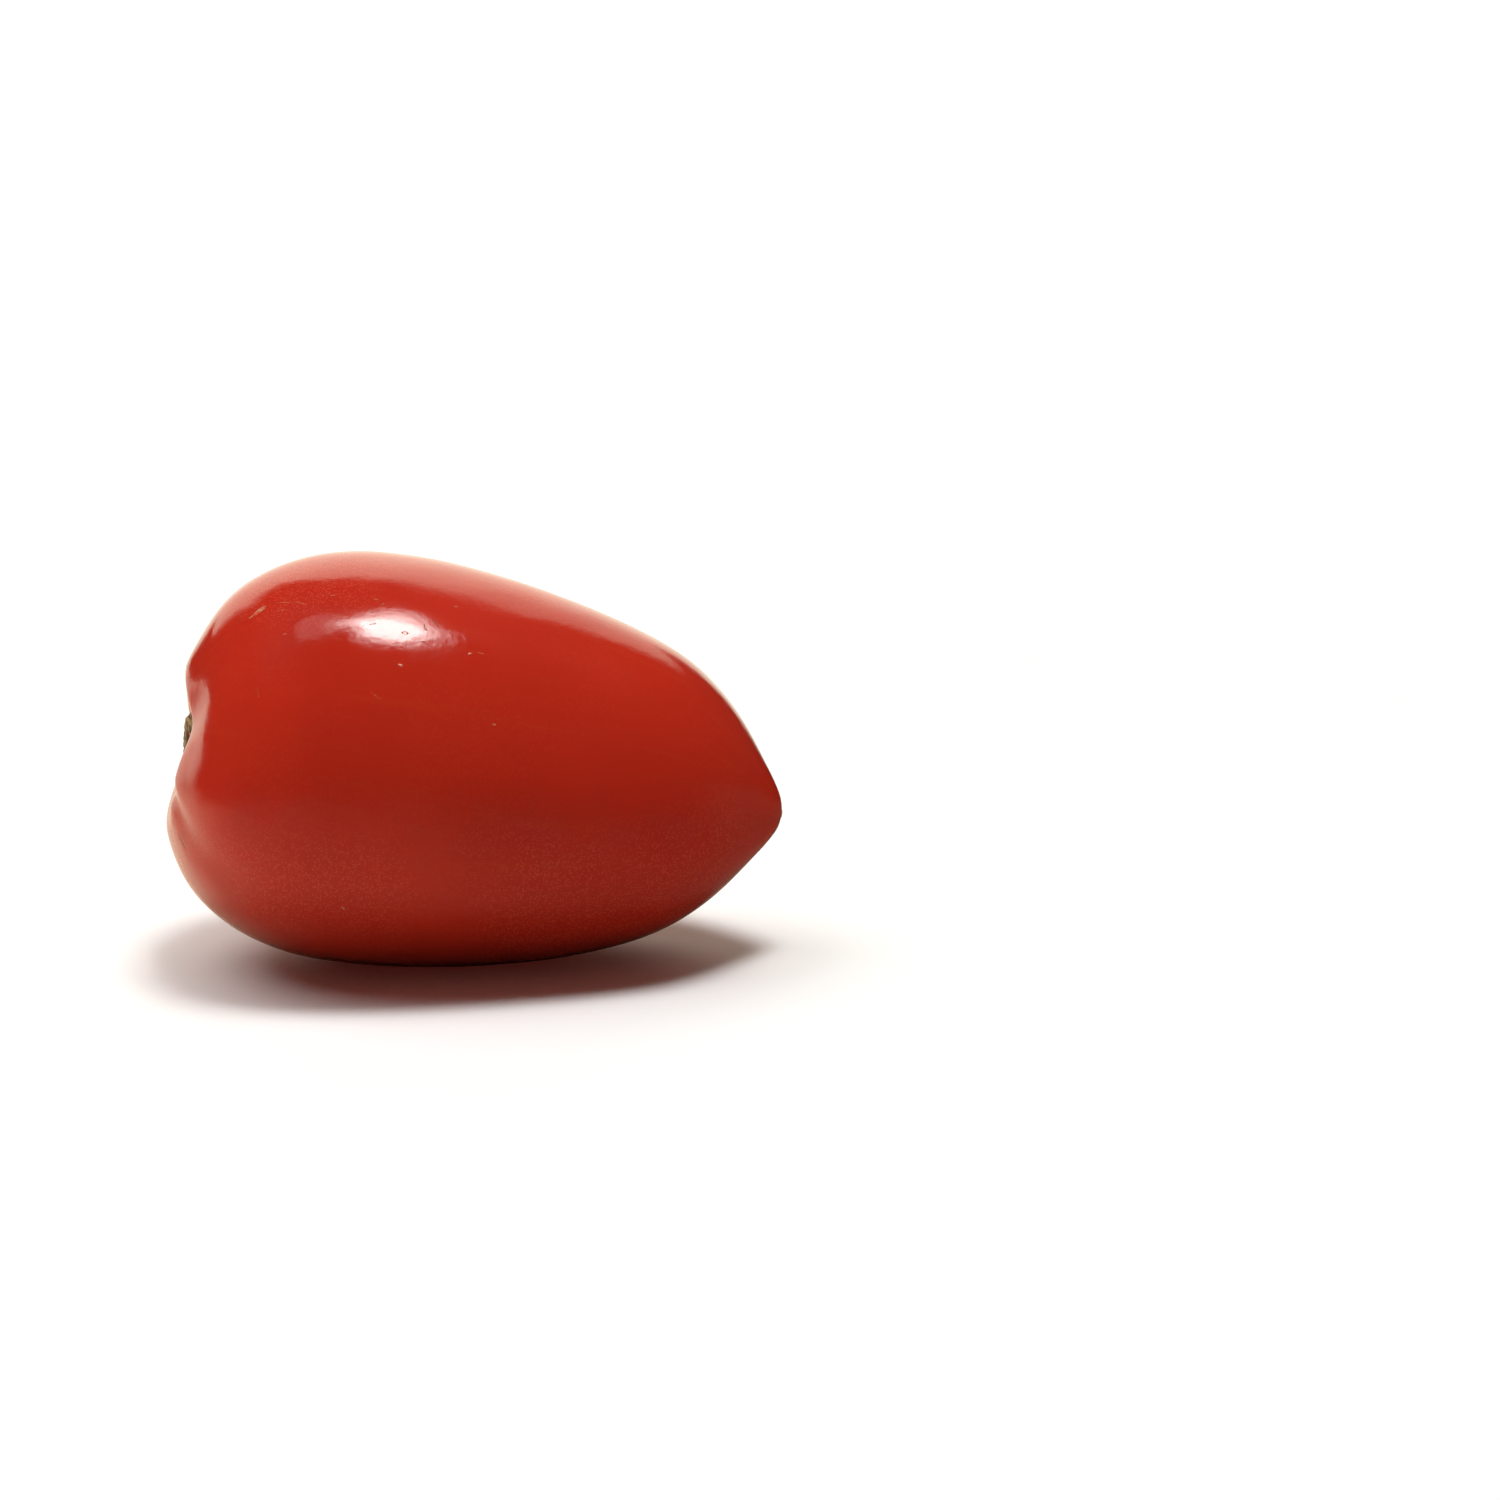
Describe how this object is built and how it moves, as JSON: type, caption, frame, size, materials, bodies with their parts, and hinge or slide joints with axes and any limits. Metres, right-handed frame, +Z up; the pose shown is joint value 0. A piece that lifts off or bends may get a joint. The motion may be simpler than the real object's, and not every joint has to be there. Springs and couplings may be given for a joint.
{
  "type": "roma tomato",
  "caption": "Ripe red roma tomato: plum-shaped fruit with a lobed shoulder round a corky stem scar, a small blunt tip and a flat spot to rest on.",
  "frame": {"origin": "centre of the fruit's footprint box, on the surface it rests on", "axes": "+X from the stem end to the tip, along the fruit's longest extent; +Z up; -Y faces the picture's camera"},
  "size_m": [0.076, 0.0536, 0.0509],
  "materials": {
    "skin": "thin waxy fruit skin, ripe red, glossy, with fine pale speckles",
    "stem_cork": "dry brown cork of the stem scar, rough and matt"
  },
  "bodies": {
    "root": {"tomato": "skin"}
  },
  "joints": []
}
